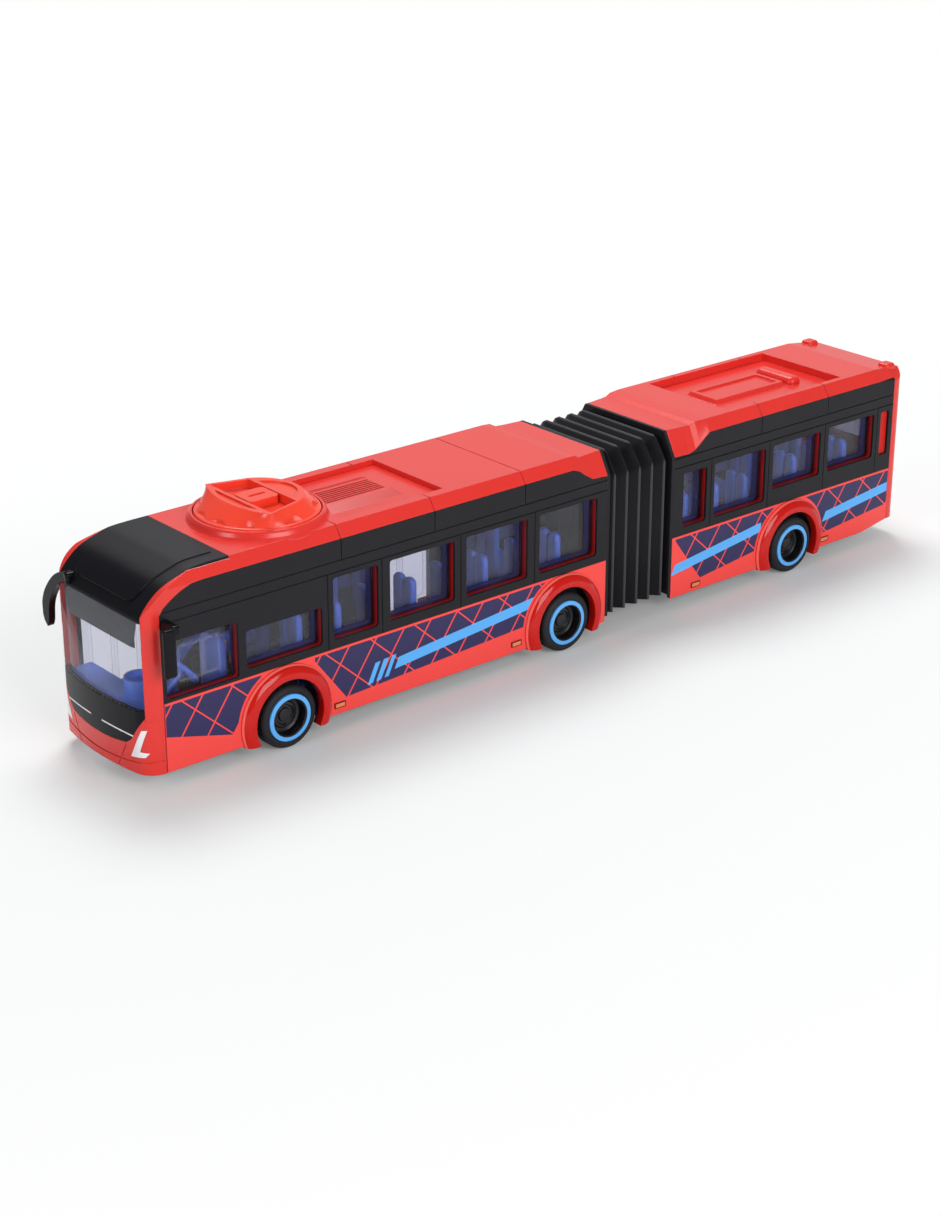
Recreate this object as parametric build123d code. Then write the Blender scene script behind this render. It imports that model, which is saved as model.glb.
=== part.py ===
from build123d import *
import os

# Toy articulated city bus, millimetres. +X forward, +Y the bus's left, +Z up, floor at z = 0.
FRONT_X = 200.0
REAR_X = -200.0
HALF_W = 29.0
WALL = 1.8
SILL_Z = 5.8
WAIST_Z = 32.5
BAND_TOP = 75.0
REAR_BAND_TOP = BAND_TOP - 0.6
ROOF_Z = 79.6
REAR_ROOF_Z = ROOF_Z - 0.4
LEDGE_Z = ROOF_Z - 1.7
ROOF_HALF = HALF_W - 3.15
FASCIA_X = FRONT_X - 10.3
PILLAR_Y = HALF_W - 2.6
PILLAR_FOOT = 26.5
SCREEN_BOTTOM = 30.5
SCREEN_TOP = 64.0
CROWN_X = FRONT_X - 42.0
FRONT_END_X = -21.5
REAR_END_X = -58.8
TAIL_X = REAR_X + 6.5
TAIL_SILL_Z = SILL_Z + 2.7
FLOOR_LOW = 7.0
FLOOR_TOP = 9.0
INNER_Y = HALF_W - WALL
GROOVE = 0.35
FLANGE = 1.0
FLANGE_DEPTH = 2.4
PANE = 1.2
PANE_Y = INNER_Y - FLANGE_DEPTH
LINER_Y = PANE_Y - PANE - 0.1

WHEEL_R = 12.3
WHEEL_FACE_Y = HALF_W + 2.6
WHEEL_INNER_Y = WHEEL_FACE_Y - 7.5
RIM_R = 9.2
HUB_DEPTH = 3.4
AXLE_R = 1.5
RUN_GAP = 0.05
FRONT_AXLE_X = 137.5
MIDDLE_AXLE_X = 1.3
REAR_AXLE_X = -129.8
ARCH_R = WHEEL_R + 2.8
LIP_R = WHEEL_R + 1.6
FENDER_R = ARCH_R + 5.1
FENDER_Y = HALF_W + 2.8
WELL_R = ARCH_R + 0.5
WELL_Y = WHEEL_INNER_Y - 4.6
WELL_WALL = 1.2
LINING_LOW = WHEEL_R + WELL_R + WELL_WALL + 0.9

KINGPIN_Y = WHEEL_INNER_Y - 3.6
ARM = 10.5
DIAL_X = FRONT_AXLE_X - ARM
DIAL_R = 23.5
COLLAR_R = DIAL_R + 1.6
SHAFT_R = 3.0
PIVOT_X = -41.0
PIVOT_R = 2.0


def box(x0, x1, y0, y1, z0, z1):
    mid = Pos((x0 + x1) / 2, (y0 + y1) / 2, (z0 + z1) / 2)
    return mid * Box(x1 - x0, y1 - y0, z1 - z0)


def rod_y(x, z, radius, y0, y1):
    return Pos(x, (y0 + y1) / 2, z) * Rot(90, 0, 0) * Cylinder(radius, y1 - y0)


def rod_z(x, y, radius, z0, z1):
    return Pos(x, y, (z0 + z1) / 2) * Cylinder(radius, z1 - z0)


def soft_box(x0, x1, y0, y1, z0, z1, radius):
    block = box(x0, x1, y0, y1, z0, z1)
    return fillet(block.edges(), radius)


def outline(points):
    return make_face(Polyline(*points, close=True))


def across(x):
    return Plane(origin=(x, 0, 0), x_dir=(0, 1, 0), z_dir=(1, 0, 0))


def along(y):
    return Plane(origin=(0, y, 0), x_dir=(1, 0, 0), z_dir=(0, -1, 0))


def prism_x(points, x0, x1):
    return extrude(across(x0) * outline(points), x1 - x0)


def prism_y(points, y0, y1):
    return extrude(along(y1) * outline(points), y1 - y0)


def prism_z(points, z0, z1):
    return extrude(Pos(0, 0, z0) * outline(points), z1 - z0)


def window_y(x0, x1, z0, z1, radius, y0, y1):
    face = Pos((x0 + x1) / 2, (z0 + z1) / 2) * RectangleRounded(x1 - x0, z1 - z0, radius)
    return extrude(along(y1) * face, y1 - y0)


def window_x(y0, y1, z0, z1, radius, x0, x1):
    face = Pos((y0 + y1) / 2, (z0 + z1) / 2) * RectangleRounded(y1 - y0, z1 - z0, radius)
    return extrude(across(x0) * face, x1 - x0)


def opposite(shape):
    return mirror(shape, about=Plane.XZ)


def hull(stations, inset):
    faces = []
    for x, rail_z, top_y, top_z in stations:
        side = HALF_W - inset
        low = -20.0 - inset
        rail = rail_z - 0.3 * inset
        top = top_y - 0.65 * inset
        crest = top_z - inset
        points = [(-side, low), (side, low), (side, rail), (top, crest), (-top, crest), (-side, rail)]
        faces.append(across(x) * outline(points))
    return loft(faces, ruled=True)


def front_plan(inset):
    side = HALF_W - inset
    bow_x = FRONT_X - 2.2 - 0.98 * inset
    bow_y = HALF_W - 6.0 - 0.2 * inset
    mid_x = FRONT_X - 4.4 - 0.75 * inset
    mid_y = HALF_W - 2.2 - 0.66 * inset
    end_x = FRONT_X - 10.0 - 0.1 * inset
    bow = ThreePointArc((bow_x, -bow_y), (FRONT_X - inset, 0), (bow_x, bow_y))
    left = ThreePointArc((bow_x, bow_y), (mid_x, mid_y), (end_x, side))
    right = ThreePointArc((end_x, -side), (mid_x, -mid_y), (bow_x, -bow_y))
    rest = Polyline((end_x, side), (-60, side), (-60, -side), (end_x, -side))
    return extrude(Pos(0, 0, -30) * make_face(bow + left + rest + right), 130)


def front_profile(inset):
    top = ROOF_Z - inset
    nose = FRONT_X - inset
    screen = FRONT_X - 3.4 - inset
    brow = [(screen, SCREEN_TOP), (FRONT_X - 6.6 - 0.8 * inset, SCREEN_TOP + 5.6 - 0.6 * inset)]
    brow += [(FRONT_X - 12.6 - 0.6 * inset, ROOF_Z - 5.0 - 0.8 * inset)]
    brow += [(FRONT_X - 22.0, top - 1.5), (FRONT_X - 38.0, top)]
    curve = Spline(*brow, tangents=((-0.2, 1.0), (-1.0, 0.0)))
    face_line = ThreePointArc((nose, 30.0), (nose - 0.7, 46.0), (screen, SCREEN_TOP))
    rest = Polyline((FRONT_X - 38.0, top), (-60, top), (-60, -30), (nose, -30), (nose, 30.0))
    return extrude(along(60) * make_face(face_line + curve + rest), 120)


def rear_plan(inset):
    side = HALF_W - inset
    face = Pos(-80, 0) * RectangleRounded(2 * (-80 - REAR_X - inset), 2 * side, 5.0 - 0.5 * inset)
    return extrude(Pos(0, 0, -30) * face, 130)


# Stations of the two bodies: x, rail height, roof half width, roof height
FRONT_STATIONS = [
    (FRONT_END_X, BAND_TOP - 6.5, ROOF_HALF - 2.0, LEDGE_Z),
    (-13.5, BAND_TOP - 6.0, ROOF_HALF - 1.3, LEDGE_Z),
    (-9.0, BAND_TOP - 3.2, ROOF_HALF - 0.6, LEDGE_Z + 0.1),
    (-6.6, BAND_TOP - 1.4, ROOF_HALF - 0.2, ROOF_Z - 0.2),
    (-3.0, BAND_TOP, ROOF_HALF, ROOF_Z),
    (FRONT_X + 10.0, BAND_TOP, ROOF_HALF, ROOF_Z),
]
REAR_STATIONS = [
    (REAR_X - 10.0, REAR_BAND_TOP - 2.4, ROOF_HALF - 2.4, REAR_ROOF_Z - 2.8),
    (-184.0, REAR_BAND_TOP, ROOF_HALF, REAR_ROOF_Z),
    (-78.5, REAR_BAND_TOP, ROOF_HALF, REAR_ROOF_Z),
    (-73.2, REAR_BAND_TOP - 4.0, ROOF_HALF - 0.6, REAR_ROOF_Z - 0.2),
    (-70.6, REAR_BAND_TOP - 5.9, ROOF_HALF - 1.0, LEDGE_Z + 0.1),
    (-67.0, REAR_BAND_TOP - 6.9, ROOF_HALF - 1.5, LEDGE_Z),
    (REAR_END_X, REAR_BAND_TOP - 6.6, ROOF_HALF - 2.4, LEDGE_Z),
]
front_outer = hull(FRONT_STATIONS, 0) & front_plan(0) & front_profile(0)
front_inner = hull(FRONT_STATIONS, WALL) & front_plan(WALL) & front_profile(WALL)
front_shell = front_outer - front_inner
rear_outer = hull(REAR_STATIONS, 0) & rear_plan(0)
rear_inner = hull(REAR_STATIONS, WALL) & rear_plan(WALL)
rear_shell = rear_outer - rear_inner
front_core = hull(FRONT_STATIONS, GROOVE)
rear_core = hull(REAR_STATIONS, GROOVE)

parts = {}

# Regions of the side view that the panels are cut by
front_rail = [(x, rail) for x, rail, top_y, top_z in FRONT_STATIONS[:-1]]
rear_rail = [(x, rail) for x, rail, top_y, top_z in REAR_STATIONS[1:]]
CORNER = [
    (CROWN_X + 13.0, BAND_TOP), (CROWN_X + 18.0, BAND_TOP - 0.3), (FASCIA_X - 9.1, BAND_TOP - 2.0),
    (FASCIA_X - 4.8, BAND_TOP - 4.4), (FASCIA_X - 1.8, BAND_TOP - 6.6), (FASCIA_X, BAND_TOP - 9.0),
]
FRONT_BAND = [(FASCIA_X, WAIST_Z), (FRONT_END_X, WAIST_Z)] + front_rail + CORNER
FRONT_ARCH = [(FASCIA_X, PILLAR_FOOT), (FRONT_X + 1, PILLAR_FOOT), (FRONT_X + 1, 90)]
FRONT_ARCH += [(CROWN_X, 90), (CROWN_X, BAND_TOP)] + CORNER
FRONT_TOP = [(FRONT_END_X, 90)] + front_rail + [(CROWN_X, BAND_TOP), (CROWN_X, 90)]
REAR_BAND = [(TAIL_X, WAIST_Z), (TAIL_X, REAR_BAND_TOP)] + rear_rail[1:] + [(REAR_END_X, WAIST_Z)]
REAR_TOP = [(REAR_X - 1, 90), (REAR_X - 1, REAR_BAND_TOP)] + rear_rail[1:] + [(REAR_END_X, 90)]

# Windows of the left side: x from, x to, z from, z to
FRONT_WINDOWS = [
    (157.4, 188.0, 33.7, 55.2), (120.2, 153.9, 35.7, 50.5), (94.2, 115.0, 36.0, 60.5),
    (57.4, 88.6, 36.4, 60.6), (20.6, 51.6, 36.0, 60.6), (-16.2, 14.4, 36.0, 60.6),
]
REAR_WINDOWS = [
    (-77.9, -64.4, 36.0, 59.5), (-113.0, -82.4, 36.0, 59.6),
    (-147.0, -117.6, 40.2, 59.7), (-181.3, -152.0, 40.4, 60.2),
]
SLOT_WINDOW = (-191.0, -185.8, 40.2, 59.9)
# Doors of the right side: name, x from, x to
DOORS = [("front_door", 162.0, 187.8), ("centre_door", 24.5, 55.5), ("rear_door", -107.0, -80.0)]
DOOR_LOW = 9.4
DOOR_TOP = 61.0
DOOR_T = 2.4
DOOR_GAP = 0.3
HINGE_R = 0.6
# Fine moulded lines of the bands: cross lines above, posts below
LINE_Z = (62.6, 66.8)
FRONT_CROSS = (110.9, 67.0, 21.9)
REAR_CROSS = (-109.6, -150.5)
FRONT_POSTS = (117.5, 92.4, 54.4, 16.8)
REAR_POSTS = (-80.4, -115.0, -149.6, -183.4)


def line_cuts(x0, x1, cross, posts, top):
    y0, y1 = HALF_W - GROOVE, HALF_W + 1
    cuts = [box(x0, x1, y0, y1, z - 0.2, z + 0.2) for z in LINE_Z]
    cuts += [box(x - 0.2, x + 0.2, y0, y1, LINE_Z[1], top) for x in cross]
    cuts += [box(x - 0.2, x + 0.2, y0, y1, WAIST_Z, LINE_Z[0]) for x in posts]
    return cuts


def windowed(panel, windows):
    for x0, x1, z0, z1 in windows:
        rim = window_y(x0 - FLANGE, x1 + FLANGE, z0 - FLANGE, z1 + FLANGE, 2.0, PANE_Y, INNER_Y)
        panel = panel + rim
    for x0, x1, z0, z1 in windows:
        panel = panel - window_y(x0, x1, z0, z1, 1.2, PANE_Y - 1, HALF_W + 1)
    return panel


def door_cut(x0, x1):
    return box(x0, x1, -HALF_W - 3, -HALF_W + 6, DOOR_LOW, DOOR_TOP)


def fender(x):
    step = HALF_W + 0.6
    lip_back = HALF_W + 1.2
    inner = Polyline((ARCH_R, INNER_Y), (ARCH_R, lip_back), (LIP_R, lip_back), (LIP_R, FENDER_Y - 0.5))
    lip = ThreePointArc((LIP_R, FENDER_Y - 0.5), (LIP_R + 0.15, FENDER_Y - 0.15), (LIP_R + 0.5, FENDER_Y))
    nose = Polyline((LIP_R + 0.5, FENDER_Y), (LIP_R + 1.5, FENDER_Y))
    bull = ThreePointArc((LIP_R + 1.5, FENDER_Y), (FENDER_R - 1.4, FENDER_Y - 0.7), (FENDER_R, step))
    back = Polyline((FENDER_R, step), (FENDER_R, INNER_Y), (ARCH_R, INNER_Y))
    face = make_face(inner + lip + nose + bull + back)
    ring = revolve(Pos(x, 0, WHEEL_R) * face, Axis((x, 0, WHEEL_R), (0, 1, 0)), 360)
    return ring & box(x - 30, x + 30, 10, HALF_W + 10, SILL_Z - 0.8, WAIST_Z)


def skirt_left(shell, x0, x1, wheels):
    panel = shell & box(x0, x1, 5, HALF_W + 10, SILL_Z, WAIST_Z)
    for x in wheels:
        panel = panel + fender(x)
    for x in wheels:
        panel = panel - rod_y(x, WHEEL_R, ARCH_R, 10, HALF_W + 10)
    return panel


front_band = front_shell & prism_y(FRONT_BAND, 5, HALF_W + 10)
for cut in line_cuts(FRONT_END_X, FASCIA_X, FRONT_CROSS, FRONT_POSTS, BAND_TOP):
    front_band = front_band - cut
parts["front_side_left"] = windowed(front_band, FRONT_WINDOWS)
front_skirt = skirt_left(front_shell, FRONT_END_X, FASCIA_X, [FRONT_AXLE_X, MIDDLE_AXLE_X])
front_skirt = front_skirt - box(FASCIA_X - 0.3, FASCIA_X + 1, HALF_W - GROOVE, HALF_W + 1, 0, WAIST_Z)
parts["front_skirt_left"] = front_skirt
front_skirt_right = opposite(front_skirt)
front_side_right = opposite(windowed(front_band, [FRONT_WINDOWS[i] for i in (1, 2, 3, 5)]))

rear_band = rear_shell & prism_y(REAR_BAND, 5, HALF_W + 10)
for cut in line_cuts(TAIL_X, REAR_END_X, REAR_CROSS, REAR_POSTS, REAR_BAND_TOP):
    rear_band = rear_band - cut
rear_band = rear_band - window_y(*SLOT_WINDOW, 0.8, HALF_W - 1.2, HALF_W + 1)
parts["rear_side_left"] = windowed(rear_band, REAR_WINDOWS)
rear_skirt = skirt_left(rear_shell, TAIL_X, REAR_END_X, [REAR_AXLE_X])
taper = [(-177.0, SILL_Z - 2), (-177.0, SILL_Z), (TAIL_X, TAIL_SILL_Z)]
taper += [(REAR_X - 5, TAIL_SILL_Z), (REAR_X - 5, SILL_Z - 2)]
rear_taper = prism_y(taper, -HALF_W - 5, HALF_W + 5)
rear_skirt = rear_skirt - rear_taper
parts["rear_skirt_left"] = rear_skirt
rear_skirt_right = opposite(rear_skirt)
rear_side_right = opposite(windowed(rear_band, REAR_WINDOWS[2:]))

# Doorways with hinge bosses, and the doors that hang in them
hinge_y = -(HALF_W - DOOR_T / 2)
for name, x0, x1 in DOORS:
    hinge_x = x1 - DOOR_GAP - DOOR_T / 2
    bore = rod_z(hinge_x, hinge_y, HINGE_R + RUN_GAP, SILL_Z + 1.6, DOOR_TOP + 2.2)
    low_boss = box(x1 - 5.0, x1 + 1.5, -HALF_W, -HALF_W + 4.0, SILL_Z + 1.6, DOOR_LOW) - bore
    top_boss = box(x1 - 5.0, x1 + 1.5, -HALF_W, -HALF_W + 4.0, DOOR_TOP, DOOR_TOP + 2.2) - bore
    if name == "rear_door":
        rear_skirt_right = rear_skirt_right - door_cut(x0, x1) - bore + low_boss
        rear_side_right = rear_side_right - door_cut(x0, x1) - bore + top_boss
    else:
        front_skirt_right = front_skirt_right - door_cut(x0, x1) - bore + low_boss
        front_side_right = front_side_right - door_cut(x0, x1) - bore + top_boss
    leaf = box(x0 + DOOR_GAP, hinge_x, -HALF_W, -HALF_W + DOOR_T, DOOR_LOW + DOOR_GAP, DOOR_TOP - DOOR_GAP)
    leaf = leaf + rod_z(hinge_x, hinge_y, DOOR_T / 2, DOOR_LOW + DOOR_GAP, DOOR_TOP - DOOR_GAP)
    middle = (x0 + hinge_x) / 2
    inner_face = -HALF_W + DOOR_T
    for left, right in ((x0 + 2.0, middle - 0.8), (middle + 0.8, hinge_x - 2.2)):
        for y0, y1 in ((-HALF_W - 1, -HALF_W + 0.5), (inner_face - 0.5, inner_face + 1)):
            leaf = leaf - window_y(left, right, 12.4, DOOR_TOP - 3.0, 2.5, y0, y1)
    parts[name] = leaf + rod_z(hinge_x, hinge_y, HINGE_R, SILL_Z + 2.2, DOOR_TOP + 1.6)
parts["front_skirt_right"] = front_skirt_right
parts["front_side_right"] = front_side_right
parts["rear_skirt_right"] = rear_skirt_right
parts["rear_side_right"] = rear_side_right

# Front end: arches over the corners, brow, windscreen, fascia, grille and lamps
arch_left = front_shell & prism_y(FRONT_ARCH, PILLAR_Y, HALF_W + 10)
parts["a_pillars"] = arch_left + opposite(arch_left)
brow = front_shell & box(CROWN_X, FRONT_X + 1, -PILLAR_Y, PILLAR_Y, SCREEN_TOP, 90)
swell = Pos(0.4, 0, 0.4) * (front_profile(0) & front_plan(0))
SWELL_Y = HALF_W - 9.5
swell_zone = window_x(-SWELL_Y, SWELL_Y, SCREEN_TOP + 5.2, SCREEN_TOP + 60, 4.0, CROWN_X + 3.0, FRONT_X + 1)
swell = swell & swell_zone
parts["forehead"] = brow + (swell - front_inner)
screen_zone = box(FASCIA_X - 5, FRONT_X + 1, -PILLAR_Y, PILLAR_Y, SCREEN_BOTTOM, SCREEN_TOP)
parts["windscreen"] = front_shell & screen_zone
GRILLE_HALF = [(PILLAR_Y, SCREEN_BOTTOM), (PILLAR_Y, 28.0), (HALF_W - 8.9, 18.4)]
GRILLE_HALF += [(HALF_W - 11.6, 16.6), (HALF_W - 17.8, 15.8), (4.0, 15.4)]
GRILLE = GRILLE_HALF + [(-y, z) for y, z in reversed(GRILLE_HALF)]
LAMP = [(HALF_W - 4.0, 23.1), (HALF_W - 2.2, 23.4), (HALF_W - 4.9, 14.7)]
LAMP += [(HALF_W - 1.8, 14.5), (HALF_W - 3.1, 12.7), (HALF_W - 9.4, 11.8)]
grille_cut = prism_x(GRILLE, FASCIA_X - 5, FRONT_X + 1)
lamp_cut = prism_x(LAMP, FASCIA_X + 1, FRONT_X + 1)
lamp_cuts = lamp_cut + opposite(lamp_cut)
lower = front_shell & box(FASCIA_X, FRONT_X + 1, -HALF_W - 10, HALF_W + 10, SILL_Z, PILLAR_FOOT)
upper = front_shell & box(FASCIA_X, FRONT_X + 1, -PILLAR_Y, PILLAR_Y, PILLAR_FOOT, SCREEN_BOTTOM)
fascia = lower + upper
parts["grille_panel"] = fascia & grille_cut
parts["headlamps"] = fascia & lamp_cuts
CREASE_HALF = [(3.0, 8.5), (15.0, 9.2), (HALF_W + 1, 10.9), (HALF_W + 1, 11.5), (15.0, 9.8), (3.0, 9.1)]
SEAM = [(HALF_W - 17.6, SILL_Z - 1), (HALF_W - 17.1, SILL_Z - 1)]
SEAM += [(HALF_W - 11.5, 15.5), (HALF_W - 12.0, 15.5)]
creases = prism_x(CREASE_HALF, FASCIA_X + 1, FRONT_X + 1) + prism_x(SEAM, FASCIA_X + 1, FRONT_X + 1)
creases = creases + opposite(creases) + box(FASCIA_X, FRONT_X + 1, -3.1, 3.1, 8.5, 9.1)
parts["front_fascia"] = fascia - grille_cut - lamp_cuts - (creases - front_plan(GROOVE))
MIRROR_Y = HALF_W + 8.0
stalk = soft_box(186.2, 189.6, HALF_W, MIRROR_Y, 60.6, 64.4, 0.9)
mirror_left = soft_box(188.0, 193.0, MIRROR_Y - 2.2, MIRROR_Y, 45.4, 63.6, 0.9)
parts["mirror_left"] = mirror_left + stalk + box(186.6, 189.2, HALF_W, HALF_W + 2, 61.2, 63.8)
HORN_OUT = [(-MIRROR_Y + 17.0, 69.4), (-MIRROR_Y + 10.4, 66.6)]
HORN_OUT += [(-MIRROR_Y + 5.0, 61.6), (-MIRROR_Y + 1.2, 56.0)]
HORN_OUT += [(-MIRROR_Y - 0.2, 50.2), (-MIRROR_Y + 1.0, 45.6)]
HORN_IN = [(-MIRROR_Y + 2.8, 43.8), (-MIRROR_Y + 4.1, 46.8), (-MIRROR_Y + 4.6, 51.2)]
HORN_IN += [(-MIRROR_Y + 5.8, 55.0), (-MIRROR_Y + 8.4, 59.2)]
HORN_IN += [(-MIRROR_Y + 12.6, 63.6), (-MIRROR_Y + 18.4, 66.4)]
horn_line = Spline(*HORN_OUT) + Polyline(HORN_OUT[-1], HORN_IN[0])
horn_line = horn_line + Spline(*HORN_IN) + Polyline(HORN_IN[-1], HORN_OUT[0])
horn_blade = extrude(across(195.0) * make_face(horn_line), 2.6) & box(190, FRONT_X, -MIRROR_Y, 0, 40, 75)
horn_root = soft_box(188.0, 197.6, -MIRROR_Y + 14.2, -MIRROR_Y + 18.6, 64.6, 69.0, 1.2)
parts["mirror_right"] = horn_blade + horn_root - front_outer - front_inner

# Roofs with their sunk trays and cross lines
front_roof = front_shell & prism_y(FRONT_TOP, -HALF_W - 10, HALF_W + 10)
for x in FRONT_CROSS:
    front_roof = front_roof - (box(x - 0.2, x + 0.2, -HALF_W - 1, HALF_W + 1, BAND_TOP, 90) - front_core)
TRAY_X0 = 57.0
TRAY_Y = ROOF_HALF - 4.4
pan = box(TRAY_X0 - 1.2, DIAL_X - 20.0, -TRAY_Y - 1.2, TRAY_Y + 1.2, ROOF_Z - 3.6, ROOF_Z - WALL + 0.2)
front_roof = front_roof + pan - box(TRAY_X0, DIAL_X - 21.5, -TRAY_Y, TRAY_Y, ROOF_Z - 2.0, ROOF_Z + 1)
hatch_foot = Pos(86.4, 0, ROOF_Z - 2.1) * Rectangle(34.6, 26.4)
hatch_top = Pos(86.4, 0, ROOF_Z - 0.3) * Rectangle(31.6, 14.0)
hatch = loft([hatch_foot, hatch_top], ruled=True)
for row in range(7):
    y = -5.1 + 1.7 * row
    hatch = hatch - box(72.2, 101.0, y - 0.45, y + 0.45, ROOF_Z - 0.8, ROOF_Z + 1)
COLLAR_TOP = ROOF_Z + 2.9
COLLAR_SIDE = [(0, ROOF_Z - 3.4), (COLLAR_R + 1.7, ROOF_Z - 3.4), (COLLAR_R + 1.7, ROOF_Z - 0.6)]
COLLAR_SIDE += [(COLLAR_R + 0.7, ROOF_Z + 0.8), (COLLAR_R + 0.2, ROOF_Z + 2.2), (COLLAR_R - 0.4, COLLAR_TOP)]
COLLAR_SIDE += [(0, COLLAR_TOP)]
collar = Pos(DIAL_X, 0, 0) * revolve(Plane.XZ * outline(COLLAR_SIDE), Axis.Z, 360) - front_outer
collar = collar + rod_z(DIAL_X, 0, COLLAR_R, ROOF_Z - 2.2, ROOF_Z + 0.2)
collar = collar - rod_z(DIAL_X, 0, DIAL_R + 0.35, ROOF_Z, 90)
front_roof = front_roof + hatch + collar + rod_z(DIAL_X, 0, 6.0, ROOF_Z - 5.0, ROOF_Z - 1.0)
parts["front_roof"] = front_roof - rod_z(DIAL_X, 0, SHAFT_R + RUN_GAP, 60, 90)

rear_roof = rear_shell & prism_y(REAR_TOP, -HALF_W - 10, HALF_W + 10)
for x in REAR_CROSS:
    rear_roof = rear_roof - (box(x - 0.2, x + 0.2, -HALF_W - 1, HALF_W + 1, REAR_BAND_TOP, 90) - rear_core)
BIG_TRAY_Y = ROOF_HALF - 2.8
deck_z = REAR_ROOF_Z - 3.2
rear_pan_y = BIG_TRAY_Y + 1.2
rear_roof = rear_roof + box(-165.2, -92.8, -rear_pan_y, rear_pan_y, deck_z - 1.0, REAR_ROOF_Z - WALL + 0.2)
rear_roof = rear_roof - box(-164.0, -94.0, -BIG_TRAY_Y, BIG_TRAY_Y, deck_z, REAR_ROOF_Z + 2)
frame = extrude(Pos(-124.0, 0, deck_z) * RectangleRounded(43.0, 18.6, 2.2), 1.7, taper=38)
frame = frame - extrude(Pos(-124.0, 0, deck_z + 0.9) * Rectangle(36.4, 12.0), 2.0, taper=-15)
bump = soft_box(-153.2, -146.2, -11.0, 11.0, deck_z - 3.0, deck_z + 3.1, 2.6)
bump = bump & box(-170, -90, -20, 20, deck_z - 0.2, 90)
horn_y0, horn_y1 = HALF_W - 9.4, HALF_W - 3.4
horn = soft_box(-197.6, -191.8, horn_y0, horn_y1, REAR_ROOF_Z - 4.0, REAR_ROOF_Z + 0.5, 1.4) - rear_inner
horns = horn + opposite(horn) - box(-201, -190, -40, 40, 0, REAR_BAND_TOP)
parts["rear_roof"] = rear_roof + frame + bump + horns

# Rear end
rear_end = rear_shell & box(REAR_X - 1, TAIL_X, -HALF_W - 10, HALF_W + 10, TAIL_SILL_Z, REAR_BAND_TOP)
GLASS_Y = HALF_W - 9.0
VENT_Y = HALF_W - 14.0
rear_glass = window_x(-GLASS_Y, GLASS_Y, 40.0, 62.0, 3.0, REAR_X - 1, REAR_X + 3)
rear_lamp = window_x(HALF_W - 9.5, HALF_W - 4.0, 14.0, 28.0, 1.5, REAR_X - 1, REAR_X + 4)
rear_lamps = rear_lamp + opposite(rear_lamp)
parts["rear_window"] = rear_end & rear_glass
parts["tail_lamps"] = rear_end & rear_lamps
vents = [box(REAR_X - 1, REAR_X + 0.5, -VENT_Y, VENT_Y, z, z + 0.9) for z in (18.0, 20.6, 23.2, 25.8, 28.4)]
seam_y = HALF_W - 5.0
vents += [box(REAR_X - 1, REAR_X + GROOVE, -seam_y, seam_y, z, z + 0.4) for z in (12.0, 34.0)]
rear_panel = rear_end - rear_glass - rear_lamps
for vent in vents:
    rear_panel = rear_panel - vent
parts["rear_panel"] = rear_panel


# Side glazing behind the window rims, and the blue lining behind the glazing
def pane_rows(rows, y0, y1, z0, z1):
    panes = []
    for side, x0, x1 in rows:
        pane = box(x0, x1, y0, y1, z0, z1)
        panes.append(pane if side > 0 else opposite(pane))
    return panes


FRONT_PANES = [(1, -19.0, 155.4), (1, 156.0, 188.8), (-1, -19.0, 20.5), (-1, 57.2, 155.4)]
REAR_PANES = [(1, -183.6, -62.6), (-1, -183.6, -114.6)]
parts["front_glazing"] = Compound(children=pane_rows(FRONT_PANES, PANE_Y - PANE, PANE_Y, WAIST_Z + 0.2, 63.0))
parts["rear_glazing"] = Compound(children=pane_rows(REAR_PANES, PANE_Y - PANE, PANE_Y, WAIST_Z + 0.6, 63.0))


def lining(rows, windows):
    walls = pane_rows(rows, LINER_Y - 2.6, LINER_Y, LINING_LOW, 64.0)
    result = []
    for wall in walls:
        for x0, x1, z0, z1 in windows:
            hole = window_y(x0 - 0.3, x1 + 0.3, z0 - 0.3, z1 + 0.3, 1.2, 5, HALF_W)
            wall = wall - hole - opposite(hole)
        result.append(wall)
    return result


def seat(x, y0, y1, floor_z, height):
    base = soft_box(x, x + 9.0, y0, y1, floor_z - 2.0, floor_z + 9.0, 1.2)
    base = base & box(REAR_X, FRONT_X, -HALF_W, HALF_W, floor_z, ROOF_Z)
    middle = (y0 + y1) / 2
    back = box(x - 2.6, x + 0.6, y0 + 0.2, y1 - 0.2, floor_z, floor_z + height - 8.0)
    for left, right in ((y0 + 0.2, middle - 0.15), (middle + 0.15, y1 - 0.2)):
        back = back + window_x(left, right, floor_z + height - 16.0, floor_z + height, 2.7, x - 2.6, x + 0.6)
    return base + back


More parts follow.
